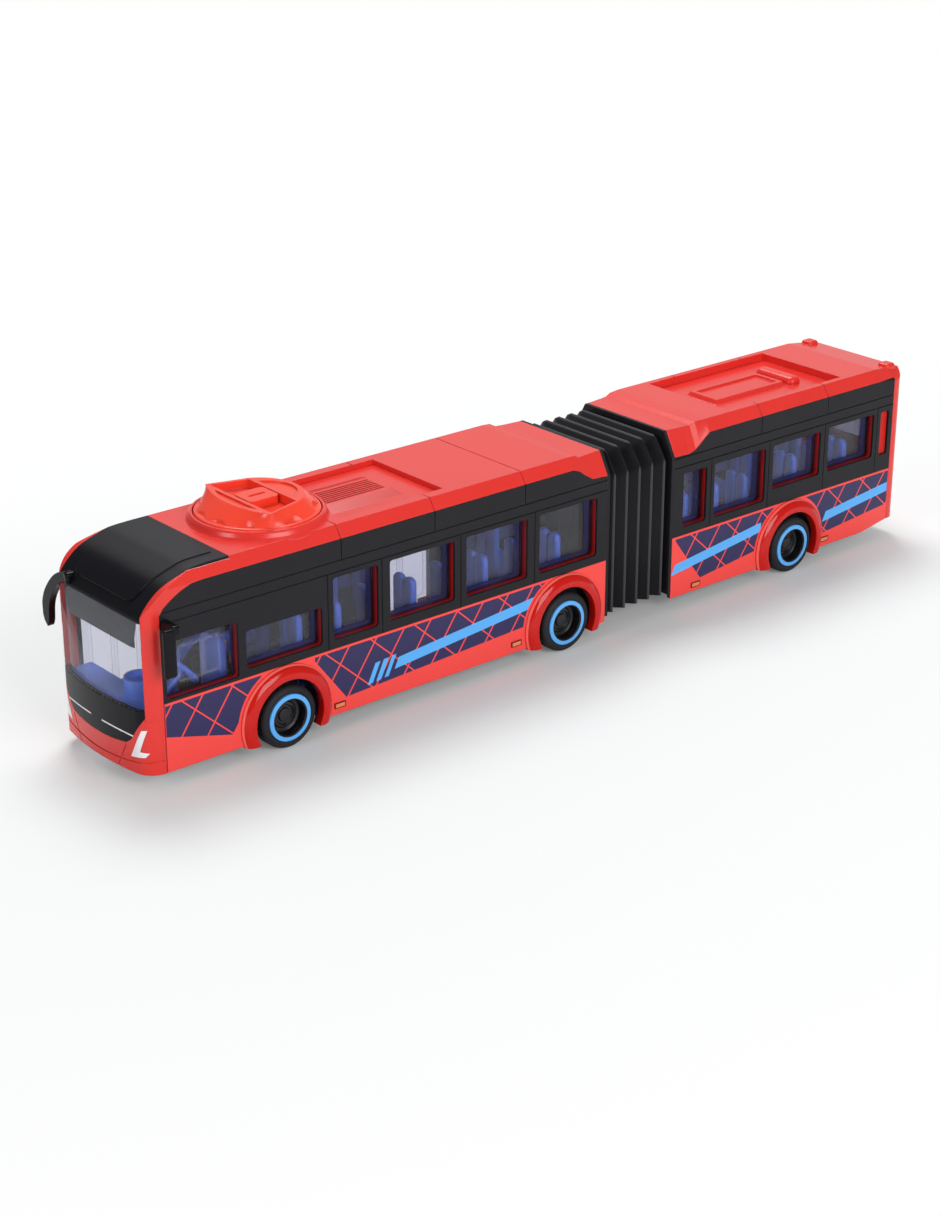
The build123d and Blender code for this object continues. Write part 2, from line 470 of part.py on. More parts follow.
# Seats: x of the back, side, floor height, back height
SEAT_W = 12.4
SEAT_Y1 = WELL_Y - 0.3
SEAT_Y0 = SEAT_Y1 - SEAT_W
FRONT_SEATS = [
    (106.0, 1, FLOOR_TOP, 36.0), (88.0, 1, FLOOR_TOP, 36.0), (70.0, 1, FLOOR_TOP, 36.0),
    (52.0, 1, FLOOR_TOP, 36.0), (34.0, 1, FLOOR_TOP, 36.0), (14.0, 1, FLOOR_TOP, 37.0),
    (-4.0, 1, FLOOR_TOP, 37.0), (106.0, -1, FLOOR_TOP, 36.0), (88.0, -1, FLOOR_TOP, 36.0),
    (70.0, -1, FLOOR_TOP, 36.0), (6.0, -1, FLOOR_TOP, 36.0),
]
REAR_SEATS = [
    (-76.0, 1, FLOOR_TOP, 36.0), (-94.0, 1, FLOOR_TOP, 36.0), (-112.0, 1, FLOOR_TOP, 37.0),
    (-142.0, 1, FLOOR_TOP, 38.0), (-158.0, 1, FLOOR_TOP, 38.0), (-174.0, 1, FLOOR_TOP, 38.0),
    (-142.0, -1, FLOOR_TOP, 38.0), (-158.0, -1, FLOOR_TOP, 38.0), (-174.0, -1, FLOOR_TOP, 38.0),
]


def seat_rows(rows):
    result = []
    for x, side, floor_z, height in rows:
        one = seat(x, SEAT_Y0, SEAT_Y1, floor_z, height)
        result.append(one if side > 0 else opposite(one))
    return result


axle_tunnel = rod_y(MIDDLE_AXLE_X, WHEEL_R, AXLE_R + 0.7, -HALF_W, HALF_W)
raised_leg = box(121.4, 123.6, SEAT_Y0 + 1.2, SEAT_Y1 - 3.2, FLOOR_TOP, 20.0)
raised = seat(124.0, SEAT_Y0, SEAT_Y1, 19.4, 25.6) + raised_leg
front_seats = [one - axle_tunnel for one in seat_rows(FRONT_SEATS)] + [raised, opposite(raised)]
parts["front_seats"] = Compound(children=front_seats)
parts["rear_seats"] = Compound(children=seat_rows(REAR_SEATS))
front_rows = [FRONT_PANES[0], FRONT_PANES[2], FRONT_PANES[3]]
parts["front_lining"] = Compound(children=lining(front_rows, FRONT_WINDOWS))
parts["rear_lining"] = Compound(children=lining(REAR_PANES, REAR_WINDOWS))
# The driver's place: console, seat with its back and plinth, dash and binnacle about one middle line
CAB_Y = HALF_W - 15.5
above_floor = box(REAR_X, FRONT_X, -HALF_W, HALF_W, FLOOR_TOP, ROOF_Z)
cab = soft_box(178.0, 187.6, -10.0, CAB_Y + 9.5, FLOOR_TOP - 3, 27.5, 1.5) & above_floor
cab = cab + soft_box(158.0, 170.0, CAB_Y - 6.5, CAB_Y + 6.5, FLOOR_TOP - 3, 21.0, 1.5) & above_floor
cab = cab + (window_x(CAB_Y - 6.3, CAB_Y + 6.3, 2.0, 46.0, 5.0, 156.4, 159.6) & above_floor)
cab = cab + box(160, 178, CAB_Y - 5.5, CAB_Y + 5.5, FLOOR_TOP, 11.0)
DASH_Y = INNER_Y - 2.6
dash = front_inner & box(186.0, FRONT_X, -DASH_Y, DASH_Y, 26.4, 29.6)
binnacle = rod_z(187.4, CAB_Y - 3.0, 5.8, 27.0, 36.6) - rod_z(187.4, CAB_Y - 3.0, 4.6, 34.4, 40.0)
cab = cab + dash + binnacle
wheel = Cylinder(1.4, 12.0) + Pos(0, 0, 6.0) * Torus(6.2, 1.0) + Pos(0, 0, 6.0) * Box(12.4, 1.8, 1.4)
parts["driver_cab"] = cab + Pos(176.0, CAB_Y, 31.5) * Rot(0, -50, 0) * wheel


# Floors with wheel wells, axle bearings and coupling tongues
def well(x, closed):
    hollow = rod_y(x, WHEEL_R, WELL_R, WELL_Y - 1, INNER_Y)
    shell = rod_y(x, WHEEL_R, WELL_R + WELL_WALL, WELL_Y, INNER_Y) - hollow
    if closed:
        shell = shell + rod_y(x, WHEEL_R, WELL_R + WELL_WALL, WELL_Y, WELL_Y + 2.0)
        shell = shell - rod_y(x, WHEEL_R, AXLE_R + RUN_GAP, 5, HALF_W)
    shell = shell & box(x - 30, x + 30, 5, INNER_Y, FLOOR_LOW, 40)
    return shell + opposite(shell)


def floor_plate(x0, x1, wheels):
    plate = box(x0, x1, -INNER_Y, INNER_Y, FLOOR_LOW, FLOOR_TOP)
    for x in wheels:
        slot = box(x - WELL_R, x + WELL_R, WELL_Y, HALF_W + 10, 0, 20)
        plate = plate - slot - opposite(slot)
    return plate


def hinge_notch(x1):
    return box(x1 - 5.2, x1 + 1.7, -HALF_W - 5, -HALF_W + 4.2, 0, 20)


front_chassis = floor_plate(FRONT_END_X, FASCIA_X - 1.7, [FRONT_AXLE_X, MIDDLE_AXLE_X])
front_chassis = front_chassis + well(MIDDLE_AXLE_X, True) + well(FRONT_AXLE_X, False)
for side in (1, -1):
    y = side * KINGPIN_Y
    inner_y = side * (KINGPIN_Y - 8.5)
    y0, y1 = sorted((y, inner_y))
    p0, p1 = sorted((inner_y, side * (KINGPIN_Y - 5.5)))
    low_lug = rod_z(FRONT_AXLE_X, y, 2.4, FLOOR_LOW, FLOOR_TOP)
    low_lug = low_lug + box(FRONT_AXLE_X - 2.4, FRONT_AXLE_X + 2.4, y0, y1, FLOOR_LOW, FLOOR_TOP)
    top_lug = rod_z(FRONT_AXLE_X, y, 2.4, 15.6, 17.6)
    top_lug = top_lug + box(FRONT_AXLE_X - 2.4, FRONT_AXLE_X + 2.4, y0, y1, 15.6, 17.6)
    post = box(FRONT_AXLE_X - 2.4, FRONT_AXLE_X + 2.4, p0, p1, FLOOR_TOP - 1, 17.6)
    front_chassis = front_chassis + low_lug + top_lug + post
    front_chassis = front_chassis - rod_z(FRONT_AXLE_X, y, AXLE_R + RUN_GAP, 0, 30)
    guide = box(DIAL_X - 3.0, DIAL_X + 3.0, side * 10 - 1, side * 10 + 1, FLOOR_TOP - 1, 14.8)
    guide_slot = box(DIAL_X - 1.55, DIAL_X + 1.55, side * 10 - 2, side * 10 + 2, 11.4, 13.4)
    front_chassis = front_chassis + guide - guide_slot
for name, x0, x1 in DOORS[:2]:
    front_chassis = front_chassis - hinge_notch(x1)
parts["front_chassis"] = front_chassis
tongue = box(PIVOT_X, FRONT_END_X, -6, 6, FLOOR_LOW, FLOOR_TOP) + rod_z(PIVOT_X, 0, 6.0, FLOOR_LOW, FLOOR_TOP)
pivot_pin = rod_z(PIVOT_X, 0, PIVOT_R, FLOOR_LOW, 12.4) + rod_z(PIVOT_X, 0, PIVOT_R + 1.4, 11.8, 13.2)
parts["front_tongue"] = tongue + pivot_pin

rear_chassis = floor_plate(REAR_X + 8.0, REAR_END_X, [REAR_AXLE_X]) + well(REAR_AXLE_X, True)
parts["rear_chassis"] = rear_chassis - rear_taper - hinge_notch(DOORS[2][2])
rear_tongue = box(REAR_END_X - 5.2, PIVOT_X, -5, 5, 9.3, 11.5) + rod_z(PIVOT_X, 0, 5.0, 9.3, 11.5)
rear_tongue = rear_tongue + box(REAR_END_X - 5.2, REAR_END_X - 0.2, -5, 5, FLOOR_TOP, 11.5)
parts["rear_tongue"] = rear_tongue - rod_z(PIVOT_X, 0, PIVOT_R + RUN_GAP, 0, 20)


def end_frame(station, x0, x1):
    x, rail_z, top_y, top_z = station
    outer = [(-HALF_W, 8.0), (HALF_W, 8.0), (HALF_W, rail_z), (top_y, top_z)]
    outer += [(-top_y, top_z), (-HALF_W, rail_z)]
    side = HALF_W - 5.5
    inner = [(-side, 16.6), (side, 16.6), (side, rail_z - 2.5), (top_y - 4.0, top_z - 4.5)]
    inner += [(-top_y + 4.0, top_z - 4.5), (-side, rail_z - 2.5)]
    return prism_x(outer, x0, x1) - prism_x(inner, x0 - 1, x1 + 1) - box(x0 - 1, x1 + 1, -side, side, 0, 13.6)


FRAME_T = 1.5
parts["front_end_frame"] = end_frame(FRONT_STATIONS[0], FRONT_END_X - FRAME_T, FRONT_END_X)
parts["rear_end_frame"] = end_frame(REAR_STATIONS[-1], REAR_END_X, REAR_END_X + FRAME_T)

# Bellows: pleats between the two end frames
BELLOWS_X0 = REAR_END_X + FRAME_T
BELLOWS_X1 = FRONT_END_X - FRAME_T
PLEATS = 5
BELLOWS_LOW = 8.2
BELLOWS_HALF = HALF_W - 0.6


def bellows_sleeve(grow, low):
    pitch = (BELLOWS_X1 - BELLOWS_X0) / PLEATS
    rings = []
    for step in range(2 * PLEATS + 1):
        x = BELLOWS_X0 + step * pitch / 2
        size = grow + (0.0 if step % 2 else -3.6)
        side = BELLOWS_HALF + size
        rail = BAND_TOP - 7.6 + 0.4 * size
        top_y = ROOF_HALF - 3.2 + 0.8 * size
        top_z = LEDGE_Z - 1.2 + size
        points = [(-side, low), (side, low), (side, rail), (top_y, top_z), (-top_y, top_z), (-side, rail)]
        rings.append(across(x) * outline(points))
    return loft(rings, ruled=True)


parts["bellows"] = bellows_sleeve(0, BELLOWS_LOW) - bellows_sleeve(-1.0, BELLOWS_LOW - 2.0)


# Amber side markers beside the wheel arches: x of the lamp's middle, z
def markers(rows):
    lamps = []
    for x, z in rows:
        lamp = box(x - 2.5, x + 2.5, HALF_W, HALF_W + 0.5, z - 1.1, z + 1.1)
        lamps += [lamp, opposite(lamp)]
    return Compound(children=lamps)


FRONT_MARKERS = [(FRONT_AXLE_X - FENDER_R - 4.1, 9.4), (MIDDLE_AXLE_X + FENDER_R + 4.7, 9.6)]
REAR_MARKERS = [(REAR_END_X - 14.5, 8.6), (REAR_AXLE_X - FENDER_R - 2.7, 9.0)]
parts["front_markers"] = markers(FRONT_MARKERS)
parts["rear_markers"] = markers(REAR_MARKERS)

# Steering: roof dial with its shaft and crank, tie rod, two knuckles
TOP_Z = ROOF_Z + 8.4
foot_z = ROOF_Z + 3.4
foot_r = DIAL_R - 1.0
base = Polyline((0, ROOF_Z + 0.4), (DIAL_R, ROOF_Z + 0.4), (DIAL_R, ROOF_Z + 2.4))
base = base + ThreePointArc((DIAL_R, ROOF_Z + 2.4), (DIAL_R - 0.3, ROOF_Z + 3.1), (foot_r, foot_z))
base = base + Polyline((foot_r, foot_z), (0, foot_z), (0, ROOF_Z + 0.4))
dial = revolve(Plane.XZ * make_face(base), Axis.Z, 360)
# The crown's outline: a front bow, two straight sides and a back bow, over the same four arcs of the foot
FRONT_CORNER = (8.5, DIAL_R - 2.9)
BACK_CORNER = (-7.2, DIAL_R - 7.4)
BOWS = [(-68.0, 136.0), (68.0, 46.0), (114.0, 132.0), (246.0, 46.0)]
foot = CenterArc((0, 0), foot_r, *BOWS[0])
for start, span in BOWS[1:]:
    foot = foot + CenterArc((0, 0), foot_r, start, span)
front_y, back_y = FRONT_CORNER[1], BACK_CORNER[1]
front_x, back_x = FRONT_CORNER[0], BACK_CORNER[0]
crown = ThreePointArc((front_x, -front_y), (13.6, 0), (front_x, front_y))
crown = crown + Line((front_x, front_y), (back_x, back_y))
crown = crown + ThreePointArc((back_x, back_y), (-17.4, 0), (back_x, -back_y))
crown = crown + Line((back_x, -back_y), (front_x, -front_y))
flank = loft([Pos(0, 0, foot_z - 0.1) * make_face(foot), Pos(0, 0, TOP_Z) * make_face(crown)], ruled=True)
for angle in (-42, -14, 14, 42, 91, 138, 166, 194, 222, 269):
    flank = flank - Rot(0, 0, angle) * Pos(DIAL_R + 5.5, 0, foot_z + 4.0) * Sphere(9.0)
POCKET = [(front_x - 0.9, 1.4 - front_y), (front_x - 0.9, front_y - 1.4)]
POCKET += [(back_x + 0.6, back_y - 1.0), (back_x + 0.6, 1.0 - back_y)]
flank = flank - extrude(Pos(0, 0, TOP_Z - 3.4) * outline(POCKET), 10)
# Shallow crescents of the crown: x of the chord, half the chord, x of the bow's middle
CRESCENTS = [(front_x + 0.8, 13.5, 12.2), (back_x - 1.2, -11.0, -15.6)]
for chord_x, half, bow_x in CRESCENTS:
    bow = ThreePointArc((chord_x, -half), (bow_x, 0), (chord_x, half))
    bow = bow + Line((chord_x, half), (chord_x, -half))
    flank = flank - extrude(Pos(0, 0, TOP_Z - 0.7) * make_face(bow), 3)
dial = dial + flank
grip = extrude(Pos(0.2, 0, TOP_Z - 3.6) * RectangleRounded(13.0, 11.4, 2.0), 3.4)
grip = grip - extrude(Pos(0.2, 0, TOP_Z - 1.0) * SlotOverall(7.4, 1.6), 5)
dial = Pos(DIAL_X, 0, 0) * (dial + grip) + rod_z(DIAL_X, 0, SHAFT_R, 14.0, ROOF_Z + 1.5)
crank = box(DIAL_X - ARM, DIAL_X, -2.2, 2.2, 14.0, 16.0) + rod_z(DIAL_X - ARM, 0, 2.2, 14.0, 16.0)
parts["steering_dial"] = dial + crank + rod_z(DIAL_X - ARM, 0, 1.0, 11.2, 15.0)
tie_rod = box(DIAL_X - 1.5, DIAL_X + 1.5, -KINGPIN_Y - 1.7, KINGPIN_Y + 1.7, 11.45, 13.35)
tie_rod = tie_rod + box(DIAL_X - ARM - 2.7, DIAL_X, -2.6, 2.6, 11.45, 13.35)
slot = extrude(Pos(DIAL_X - ARM + 0.2, 0, 5) * SlotOverall(3.5, 2.3), 15)
tie_rod = tie_rod - slot
for side in (1, -1):
    tie_rod = tie_rod + rod_z(DIAL_X, side * KINGPIN_Y, 1.0, 9.4, 12.0)
parts["tie_rod"] = tie_rod


def knuckle(side):
    y = side * KINGPIN_Y
    stub = side * (WHEEL_FACE_Y - HUB_DEPTH - 0.9)
    body = rod_z(FRONT_AXLE_X, y, AXLE_R, 7.0, 18.0)
    body = body + box(FRONT_AXLE_X - 2.4, FRONT_AXLE_X + 2.4, y - 2.2, y + 2.2, 9.3, 15.3)
    body = body + rod_y(FRONT_AXLE_X, WHEEL_R, AXLE_R, min(y, stub), max(y, stub))
    arm = box(DIAL_X - 1.0, FRONT_AXLE_X, y - 2.2, y + 2.2, 9.5, 11.1)
    arm = arm + rod_z(DIAL_X - 1.0, y, 2.2, 9.5, 11.1)
    groove = extrude(Pos(DIAL_X - 0.3, y, 5) * SlotOverall(3.5, 2.3), 10)
    return body + arm - groove


parts["knuckle_left"] = knuckle(1)
parts["knuckle_right"] = knuckle(-1)


# Wheels: tyre and rim turned about the axle line
def turned(face, x):
    return revolve(Pos(x, 0, WHEEL_R) * face, Axis((x, 0, WHEEL_R), (0, 1, 0)), 360)


y_in, y_out = WHEEL_INNER_Y, WHEEL_FACE_Y
tyre_line = Polyline((RIM_R, y_in), (WHEEL_R - 1.3, y_in))
SHOULDER_IN = [(WHEEL_R - 1.3, y_in), (WHEEL_R - 0.35, y_in + 0.35), (WHEEL_R, y_in + 1.2)]
SHOULDER_OUT = [(WHEEL_R, y_out - 2.0), (WHEEL_R - 0.6, y_out - 0.9), (RIM_R + 1.2, y_out - 0.3)]
tyre_line = tyre_line + ThreePointArc(*SHOULDER_IN)
tyre_line = tyre_line + Polyline(SHOULDER_IN[-1], SHOULDER_OUT[0])
tyre_line = tyre_line + ThreePointArc(*SHOULDER_OUT)
tyre_line = tyre_line + Polyline((RIM_R + 1.2, y_out - 0.3), (RIM_R, y_out - 0.3), (RIM_R, y_in))
tyre_face = make_face(tyre_line)
DISH = [(0, y_in + 1.5), (RIM_R, y_in + 1.5), (RIM_R, y_out - 0.2), (RIM_R - 0.2, y_out)]
DISH += [(RIM_R - 2.0, y_out), (RIM_R - 2.3, y_out - 0.4), (RIM_R - 2.6, y_out - 4.0)]
DISH += [(5.4, y_out - 4.4), (5.0, y_out - 3.7), (4.0, y_out - 3.6), (3.6, y_out - 4.2)]
HUB = [(2.7, y_out - 4.2), (2.5, y_out - HUB_DEPTH - 0.1), (0, y_out - HUB_DEPTH)]
pin_end = y_out - HUB_DEPTH - 0.7
for axle, x in (("front", FRONT_AXLE_X), ("middle", MIDDLE_AXLE_X), ("rear", REAR_AXLE_X)):
    tyre = turned(tyre_face, x)
    rim = turned(outline(DISH + HUB), x)
    if axle == "front":
        sleeve = rod_y(x, WHEEL_R, 2.8, y_in - 0.8, y_in + 1.6)
        rim = rim + sleeve - rod_y(x, WHEEL_R, AXLE_R + RUN_GAP, 5, pin_end)
    else:
        rim = rim - rod_y(x, WHEEL_R, AXLE_R, 5, pin_end)
        parts[axle + "_axle"] = rod_y(x, WHEEL_R, AXLE_R, -pin_end, pin_end)
    parts[axle + "_tyre_left"] = tyre
    parts[axle + "_tyre_right"] = opposite(tyre)
    parts[axle + "_rim_left"] = rim
    parts[axle + "_rim_right"] = opposite(rim)

os.makedirs("parts", exist_ok=True)
for name, shape in parts.items():
    export_step(shape, "parts/" + name + ".step")
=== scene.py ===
import math

import bmesh
import bpy
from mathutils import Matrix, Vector


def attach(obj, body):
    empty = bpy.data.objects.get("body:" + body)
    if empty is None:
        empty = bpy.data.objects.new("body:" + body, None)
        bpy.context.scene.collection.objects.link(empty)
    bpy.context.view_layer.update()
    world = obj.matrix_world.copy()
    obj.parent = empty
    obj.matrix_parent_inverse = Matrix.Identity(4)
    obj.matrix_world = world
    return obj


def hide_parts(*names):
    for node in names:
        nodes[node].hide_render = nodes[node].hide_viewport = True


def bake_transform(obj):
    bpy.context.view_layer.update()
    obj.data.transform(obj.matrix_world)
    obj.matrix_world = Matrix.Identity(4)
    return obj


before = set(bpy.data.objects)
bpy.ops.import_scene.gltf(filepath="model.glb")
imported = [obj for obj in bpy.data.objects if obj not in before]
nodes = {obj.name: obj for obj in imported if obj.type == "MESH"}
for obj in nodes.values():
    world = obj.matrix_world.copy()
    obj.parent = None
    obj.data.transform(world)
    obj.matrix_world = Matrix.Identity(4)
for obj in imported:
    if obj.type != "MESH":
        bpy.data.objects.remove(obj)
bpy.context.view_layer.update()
scene = bpy.context.scene
scene.view_settings.view_transform = "Standard"

# Sizes of the bus that the looks follow, in millimetres
MM = 0.001
FRONT_X = 200.0
HALF_W = 29.0
WALL = 1.8
WAIST = 32.5
AXLES = {"front": 137.5, "middle": 1.3, "rear": -129.8}
WHEEL_R = 12.3
WHEEL_FACE_Y = 31.6
RING_R = 7.55
FENDER_R = 20.2
LIP_R = 13.9
WELL_R = 15.6
WELL_Y = 19.5
CABIN_Y = 24.0
FLOOR_TOP = 9.0
SHAFT_TOP = 76.0
# Heights between which painted shade darkens the cabin blue
CABIN_DUSK_Z = (27.0, 18.0)

# Roof hatch: its foot, the crest of its flanks, and the louvres between them
HATCH_X = (68.9, 103.9)
HATCH_Y = 13.4
HATCH_FOOT_Z = 77.7
CREST_Y = 7.05
CREST_Z = 79.25
LOUVRE_Y = 5.7
LOUVRE_Z = 79.1

# Doors: x from, x to, and the height of their panes
DOORS = [(162.0, 187.8), (24.5, 55.5), (-107.0, -80.0)]
DOOR_PANE_Z = (12.4, 58.0)
# Window rims: depth from the side at which they start, and between which depths painted shade darkens them
RIM_DEPTH = 1.1
RIM_FADE = (1.3, 3.2)
# Windscreen: how it falls back per square mm across and above its foot
SCREEN_FOOT_Z = 30.0
SCREEN_BOW = 0.0042
SCREEN_RAKE = 0.0029
# Blank sign strip behind the windscreen: across and up
SIGN_Y = (-23.5, 22.6)
SIGN_Z = (53.7, 64.2)
# Trim line of the front panel: height in the middle, fall per square mm across, half its width, ends
TRIM_Z = 20.6
TRIM_BOW = 0.0011
TRIM_HALF = 0.28
TRIM_Y = (3.6, 22.0)
# Outlines in the driver's window: middle x, middle z, half width, half height
SLIDERS = [(174.8, 43.6, 4.9, 6.6), (165.9, 43.8, 3.0, 6.6)]
# Side marker lamps: x and z of the middle
MARKERS = [(113.2, 9.4), (26.2, 9.6), (-73.3, 8.6), (-152.7, 9.0)]
MARKER_HALF = (2.1, 0.72)

# Skirt fields: x from, x to, knee of the low edge as x and z, rise per mm ahead of it and behind it
FIELDS = [
    (145.0, 189.2, 161.0, 12.0, 0.27, 1.19),
    (6.0, 124.0, 110.0, 11.6, 1.32, 0.045),
    (-126.0, -61.0, -76.0, 10.8, 1.32, 0.11),
    (-193.2, -139.0, -150.5, 12.0, 0.98, 0.09),
]
# Fine lines of the fields: slant, pitch
LATTICE = [(0.7, 13.0), (-1.1, 21.0)]
LATTICE_LINE = 0.8
# Skirt stripes: x from, x to, height at the from end, height at the to end, whether bars follow it
STRIPES = [
    (14.0, 86.0, 25.0, 18.5, True),
    (-112.0, -60.0, 24.5, 18.0, False),
    (-193.0, -152.0, 24.0, 19.5, False),
]
STRIPE_HALF = 2.1
STRIPE_SLANT = 0.5
BAR_HALF = 3.8
BAR_RUN = (2.0, 13.0)
BAR_PITCH = 4.0
BAR_GAP = 1.6

# Seats: x of the back, side, floor height, back height
SEAT_Y = 13.0
SEAT_W = 6.2
SEAT_GAP = 0.4
SEAT_FOOT = 6.2
FRONT_SEATS = [(x, 1, FLOOR_TOP, 36.0) for x in (106.0, 88.0, 70.0, 52.0, 34.0, 14.0, -4.0)]
FRONT_SEATS += [(x, -1, FLOOR_TOP, 36.0) for x in (106.0, 88.0, 70.0, 6.0)]
FRONT_SEATS += [(124.0, side, 19.4, 25.6) for side in (1, -1)]
REAR_SEATS = [(x, 1, FLOOR_TOP, 36.0) for x in (-76.0, -94.0, -112.0)]
REAR_SEATS += [(x, side, FLOOR_TOP, 38.0) for x in (-142.0, -158.0, -174.0) for side in (1, -1)]

# Bellows: half section at a ridge as y and z, and how the pleats fold
BELLOWS_START = -23.0
BELLOWS_END = -57.3
BELLOWS_HALF = [(28.3, 8.4), (28.3, 66.4), (27.6, 68.6), (22.9, 75.4), (20.8, 76.6)]
HEM_Z = 9.0
PLEATS = 5
RIDGE_SHARE = 0.08
VALLEY_WIDTH = 0.88
FOLD_DROP = 3.4

# Half section of a tyre: radius and distance from the middle of the bus
TYRE = [
    (9.2, 24.1), (11.0, 24.1), (11.95, 24.45), (12.3, 25.3), (12.3, 26.4),
    (12.0, 26.5), (12.0, 26.8), (12.3, 26.9), (12.3, 28.1), (12.0, 28.2),
    (12.0, 28.5), (12.3, 28.6), (12.3, 29.6), (12.1, 30.3), (11.7, 30.75),
    (11.2, 31.1), (10.4, 31.3), (9.7, 31.26), (9.4, 31.05), (9.2, 30.8),
]
TYRE_COLUMNS = 96
TREAD_EVERY = 4

# Colours, linear
RED = (0.76, 0.036, 0.028, 1)
RED_DEEP = (0.69, 0.028, 0.021, 1)
# Painted shade: darker reds for the roof hatch flanks and the louvre grooves
FLANK_SHADE_RED = (0.56, 0.020, 0.015, 1)
LOUVRE_SHADE_RED = (0.30, 0.008, 0.006, 1)
# Print red of the outer skirt faces, partly painted light for the bright floor they face
PRINT_RED_WITH_PAINTED_LIGHT = (0.90, 0.066, 0.056, 1)
GLOSS_RED = (0.56, 0.008, 0.005, 1)
# Painted highlight along the fender lips and outer rims
EDGE_HIGHLIGHT_RED = (0.96, 0.13, 0.105, 1)
RIM_RED = (0.56, 0.014, 0.010, 1)
RIM_SHADE = (0.05, 0.002, 0.003, 1)
BORDER_RED = (0.16, 0.004, 0.004, 1)
ORANGE_RED = (0.88, 0.062, 0.030, 1)
ORANGE_RED_DEEP = (0.82, 0.050, 0.024, 1)
NAVY = (0.026, 0.022, 0.092, 1)
SKY = (0.10, 0.42, 0.90, 1)
INK = (0.0035, 0.0033, 0.0055, 1)
COAL = (0.0085, 0.0080, 0.0110, 1)
COAL_PALE = (0.0130, 0.0122, 0.0160, 1)
TYRE_GREY = (0.021, 0.020, 0.022, 1)
# Painted highlight for the bellows ridges
RIDGE_HIGHLIGHT_GREY = (0.060, 0.058, 0.064, 1)
SIGN = (0.026, 0.025, 0.034, 1)
SEAT_BLUE = (0.105, 0.25, 0.86, 1)
SEAT_BLUE_DEEP = (0.075, 0.18, 0.70, 1)
LINING_BLUE = (0.024, 0.032, 0.19, 1)
LINING_BLUE_PALE = (0.040, 0.060, 0.32, 1)
# Painted shade for faces in and around the cabin
CABIN_SHADE = (0.020, 0.014, 0.030, 1)
PALE = (0.78, 0.78, 0.80, 1)
LAMP_WHITE = ((0.80, 0.80, 0.83, 1), (0.88, 0.88, 0.90, 1))
LAMP_AMBER = ((0.72, 0.20, 0.06, 1), (0.84, 0.27, 0.09, 1))
LAMP_RED = ((0.40, 0.008, 0.008, 1), (0.50, 0.012, 0.010, 1))
STEEL = ((0.5, 0.5, 0.5, 1), (0.62, 0.62, 0.62, 1))
PAPER = (0.82, 0.84, 0.84, 1)
PANE_TINT = (0.86, 0.86, 0.92, 1)
DARK_TINT = (0.34, 0.34, 0.40, 1)
DOOR_TINT = (0.88, 0.88, 0.93, 1)
SCREEN_TINT = (0.95, 0.95, 0.97, 1)
MIRROR_TINT = (0.94, 0.94, 0.97, 1)

# Soft boxes: place, aim, size in metres, power in watts
SOFT_BOXES = [
    ((-0.25, -0.50, 1.15), (0, 0, 0.03), 0.6, 11.5),
    ((-0.75, -0.95, 0.75), (0, 0, 0.05), 1.8, 4.5),
    ((0.10, 1.40, 0.60), (0, 0, 0.04), 0.9, 15.0),
    ((1.40, 0.10, 0.50), (0.1, 0, 0.04), 0.45, 4.5),
]
FILL_LIGHT = 0.23
# The paper floor is plain white to the camera from the second distance on
PAPER_FADE = (100.0, 330.0)
PAPER_NEAR = 0.10
PAPER_STRETCH = 0.4

CAMERA_PLACE = (0.59332, 0.6743, 0.3877)
CAMERA_YAW = math.radians(49.896)
CAMERA_PITCH = math.radians(22.898)
CAMERA_LENS = 70.62
CAMERA_SENSOR = 36.0


class Wire:
    """A shader socket that sums can be written with."""

    def __init__(self, finish, socket):
        self.finish = finish
        self.socket = socket

    def sum(self, operation, *values):
        return self.finish.node("ShaderNodeMath", {"operation": operation}, values)

    def __add__(self, other):
        return self.sum("ADD", self, other)

    def __radd__(self, other):
        return self.sum("ADD", other, self)

    def __sub__(self, other):
        return self.sum("SUBTRACT", self, other)

    def __rsub__(self, other):
        return self.sum("SUBTRACT", other, self)

    def __mul__(self, other):
        return self.sum("MULTIPLY", self, other)

    def __rmul__(self, other):
        return self.sum("MULTIPLY", other, self)

    def __pow__(self, other):
        return self.sum("POWER", self, other)

    def __mod__(self, other):
        return self.sum("FLOORED_MODULO", self, other)

    def __abs__(self):
        return self.sum("ABSOLUTE", self)

    def __gt__(self, other):
        return self.sum("GREATER_THAN", self, other)

    def __lt__(self, other):
        return self.sum("LESS_THAN", self, other)

    def within(self, low, high):
        return (self > low) * (self < high)

    def either(self, other):
        return self.sum("MAXIMUM", self, other)

    def both(self, other):
        return self.sum("MINIMUM", self, other)


def any_of(masks):
    joined = masks[0]
    for mask in masks[1:]:
        joined = joined.either(mask)
    return joined


def all_of(masks):
    joined = masks[0]
    for mask in masks[1:]:
        joined = joined * mask
    return joined


